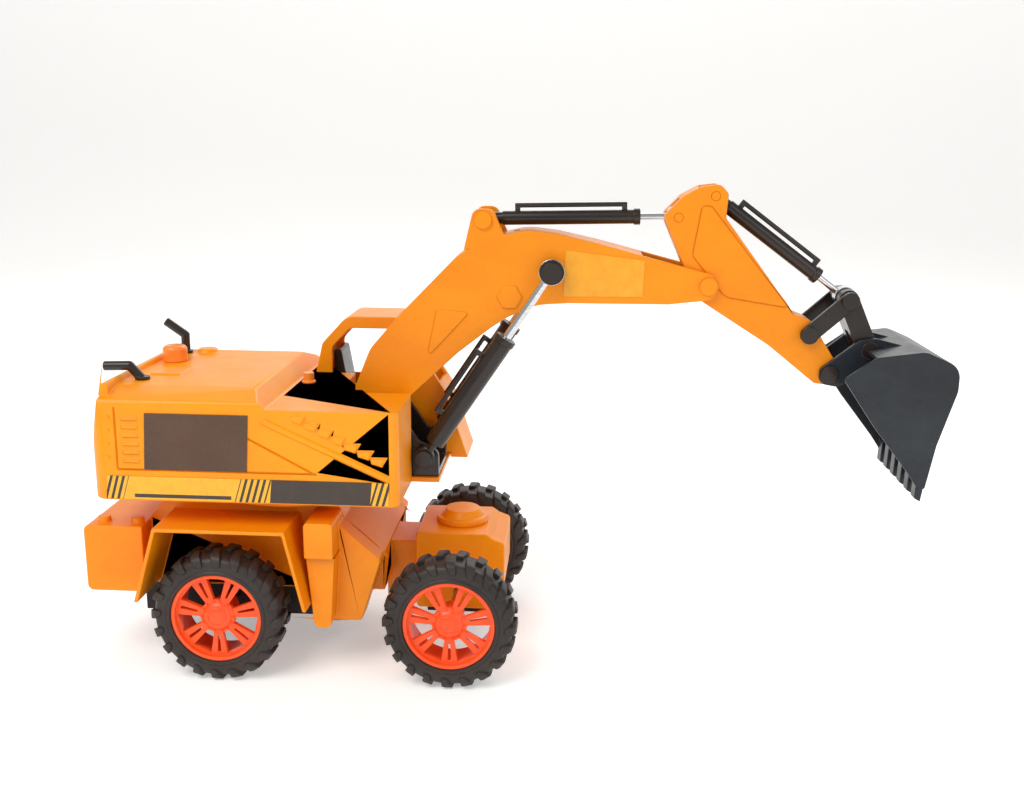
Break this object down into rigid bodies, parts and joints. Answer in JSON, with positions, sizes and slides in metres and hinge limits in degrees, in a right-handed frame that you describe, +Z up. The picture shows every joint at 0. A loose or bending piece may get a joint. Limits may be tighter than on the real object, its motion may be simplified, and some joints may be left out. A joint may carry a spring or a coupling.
{
  "type": "toy excavator",
  "caption": "Wheeled toy excavator with a slewing cab, jointed boom and arm with cylinders, and a tilting bucket worked by a rocker and link.",
  "frame": {"origin": "on the ground, under the middle of the whole toy's box, with the superstructure facing straight ahead", "axes": "+X from the rear bumper to the bucket, +Y to the cab's side, +Z up"},
  "size_m": [0.3973, 0.124, 0.2268],
  "materials": {
    "shell_yellow": "satin moulded ABS",
    "boom_orange": "satin moulded ABS",
    "black_plastic": "satin black plastic",
    "tyre_black": "matte soft plastic",
    "rim_red": "satin",
    "bucket_grey": "satin dark grey",
    "plated_rod": "bright plating",
    "steel": "plain",
    "window_film": "smooth dark film",
    "label_film": "printed film",
    "cap_orange": "satin",
    "gear_white": "nylon",
    "cell_skin": "wrapped",
    "contact_brass": "plain",
    "board_green": "solder mask"
  },
  "bodies": {
    "chassis": {"chassis_shell": "shell_yellow", "chassis_base": "black_plastic", "gearbox_frame": "black_plastic", "drive_motor": "steel", "battery_cells": "cell_skin", "battery_contacts": "contact_brass", "switch_housing": "black_plastic", "chassis_screws": "steel", "front_axle_housing": "shell_yellow", "front_dome_cap": "shell_yellow", "front_keel": "black_plastic", "slew_ring_gear": "gear_white"},
    "battery_door": {"battery_door": "black_plastic"},
    "power_switch": {"power_switch": "black_plastic"},
    "rear_wheels": {"rear_rims": "rim_red", "rear_tyres": "tyre_black", "rear_axle": "steel", "axle_gear": "gear_white"},
    "motor_pinion": {"motor_pinion": "gear_white"},
    "front_wheels": {"front_rims": "rim_red", "front_tyres": "tyre_black", "front_axle": "steel"},
    "upper": {"upper_floor": "shell_yellow", "slew_retainer": "black_plastic", "slew_motor": "steel", "circuit_board": "board_green", "hood_casing": "shell_yellow", "side_windows": "window_film", "side_labels": "label_film", "roof_beacon": "cap_orange", "roof_knob": "cap_orange", "exhaust_pipes": "black_plastic", "cab_shell": "shell_yellow", "cab_seat": "black_plastic", "cab_console": "cap_orange", "boom_bracket": "black_plastic", "boom_foot_pin": "steel", "jack_foot_pin": "steel"},
    "slew_pinion": {"slew_pinion": "gear_white"},
    "boom": {"boom_half_right": "boom_orange", "boom_half_left": "boom_orange", "boom_labels": "label_film", "arm_pivot_pin": "steel", "arm_jack_foot_pin": "steel", "ball_studs": "steel"},
    "boom_barrels": {"boom_jack_barrels": "black_plastic"},
    "boom_rods": {"boom_jack_rods": "plated_rod"},
    "arm": {"arm_half_right": "boom_orange", "arm_half_left": "boom_orange", "arm_head_pins": "steel", "rocker_pin": "steel"},
    "arm_barrel": {"arm_jack_barrel": "black_plastic"},
    "arm_rod": {"arm_jack_rod": "plated_rod"},
    "rocker": {"rocker_lever": "black_plastic", "rocker_top_pin": "steel"},
    "link": {"bucket_link": "black_plastic"},
    "bucket_barrel": {"bucket_jack_barrel": "black_plastic"},
    "bucket_rod": {"bucket_jack_rod": "plated_rod"},
    "bucket": {"bucket": "bucket_grey", "bucket_pins": "steel"}
  },
  "joints": [
    {"name": "rear_axle_spin", "type": "hinge", "parent": "chassis", "child": "rear_wheels", "pos_m": [-0.132, 0, 0.031], "axis": [0, 1, 0], "continuous": true},
    {"name": "motor_pinion_spin", "type": "hinge", "parent": "chassis", "child": "motor_pinion", "pos_m": [-0.132, 0, 0.042], "axis": [0, 1, 0], "continuous": true},
    {"name": "front_axle_spin", "type": "hinge", "parent": "chassis", "child": "front_wheels", "pos_m": [-0.025, 0, 0.031], "axis": [0, 1, 0], "continuous": true},
    {"name": "battery_door_lift", "type": "slide", "parent": "chassis", "child": "battery_door", "axis": [0, 0, -1], "range_m": [0, 0.012]},
    {"name": "power_switch_slide", "type": "slide", "parent": "chassis", "child": "power_switch", "axis": [1, 0, 0], "range_m": [-0.002, 0.002]},
    {"name": "slew", "type": "hinge", "parent": "chassis", "child": "upper", "pos_m": [-0.1065, 0, 0.082], "axis": [0, 0, 1], "continuous": true},
    {"name": "slew_pinion_spin", "type": "hinge", "parent": "upper", "child": "slew_pinion", "pos_m": [-0.1065, -0.0303, 0.082], "axis": [0, 0, 1], "continuous": true},
    {"name": "boom_pivot", "type": "hinge", "parent": "upper", "child": "boom", "pos_m": [-0.0665, 0, 0.119], "axis": [0, -1, 0], "range_deg": [-12, 20]},
    {"name": "boom_barrel_pivot", "type": "hinge", "parent": "upper", "child": "boom_barrels", "pos_m": [-0.0413, 0, 0.0983], "axis": [0, -1, 0], "range_deg": [-11.41, 19.01]},
    {"name": "boom_rod_slide", "type": "slide", "parent": "boom_barrels", "child": "boom_rods", "axis": [0.5528, 0, 0.8333], "range_m": [-0.00667, 0.01111]},
    {"name": "arm_pivot", "type": "hinge", "parent": "boom", "child": "arm", "pos_m": [0.0893, 0, 0.1812], "axis": [0, -1, 0], "range_deg": [-15, 12]},
    {"name": "arm_barrel_pivot", "type": "hinge", "parent": "boom", "child": "arm_barrel", "pos_m": [-0.0142, 0, 0.2099], "axis": [0, -1, 0], "range_deg": [-1.7, 2.12]},
    {"name": "arm_rod_slide", "type": "slide", "parent": "arm_barrel", "child": "arm_rod", "axis": [0.9997, 0, 0.0236], "range_m": [-0.00649, 0.00811]},
    {"name": "bucket_pivot", "type": "hinge", "parent": "arm", "child": "bucket", "pos_m": [0.1467, 0, 0.1415], "axis": [0, -1, 0], "range_deg": [-22, 15]},
    {"name": "rocker_pivot", "type": "hinge", "parent": "arm", "child": "rocker", "pos_m": [0.1363, 0, 0.1595], "axis": [0, -1, 0], "range_deg": [-17.87, 12.18]},
    {"name": "link_pivot", "type": "hinge", "parent": "rocker", "child": "link", "pos_m": [0.1538, 0, 0.1756], "axis": [0, -1, 0], "range_deg": [-10.2, 14.95]},
    {"name": "bucket_barrel_pivot", "type": "hinge", "parent": "arm", "child": "bucket_barrel", "pos_m": [0.091, 0, 0.2218], "axis": [0, -1, 0], "range_deg": [-1.26, 0.86]},
    {"name": "bucket_rod_slide", "type": "slide", "parent": "bucket_barrel", "child": "bucket_rod", "axis": [0.8055, 0, -0.5926], "range_m": [-0.00488, 0.00715]}
  ],
  "couplings": [
    {"joint": "motor_pinion_spin", "follows": "rear_axle_spin", "ratio": -2.25},
    {"joint": "slew_pinion_spin", "follows": "slew", "ratio": 6.5},
    {"joint": "boom_barrel_pivot", "follows": "boom_pivot", "ratio": 0.95043},
    {"joint": "boom_rod_slide", "follows": "boom_pivot", "m_per_rad": 0.031838},
    {"joint": "arm_barrel_pivot", "follows": "arm_pivot", "ratio": -0.14162},
    {"joint": "arm_rod_slide", "follows": "arm_pivot", "m_per_rad": -0.030982},
    {"joint": "rocker_pivot", "follows": "bucket_pivot", "ratio": 0.8121},
    {"joint": "link_pivot", "follows": "bucket_pivot", "ratio": -0.6797},
    {"joint": "bucket_barrel_pivot", "follows": "bucket_pivot", "ratio": 0.0573},
    {"joint": "bucket_rod_slide", "follows": "bucket_pivot", "m_per_rad": -0.018621}
  ]
}
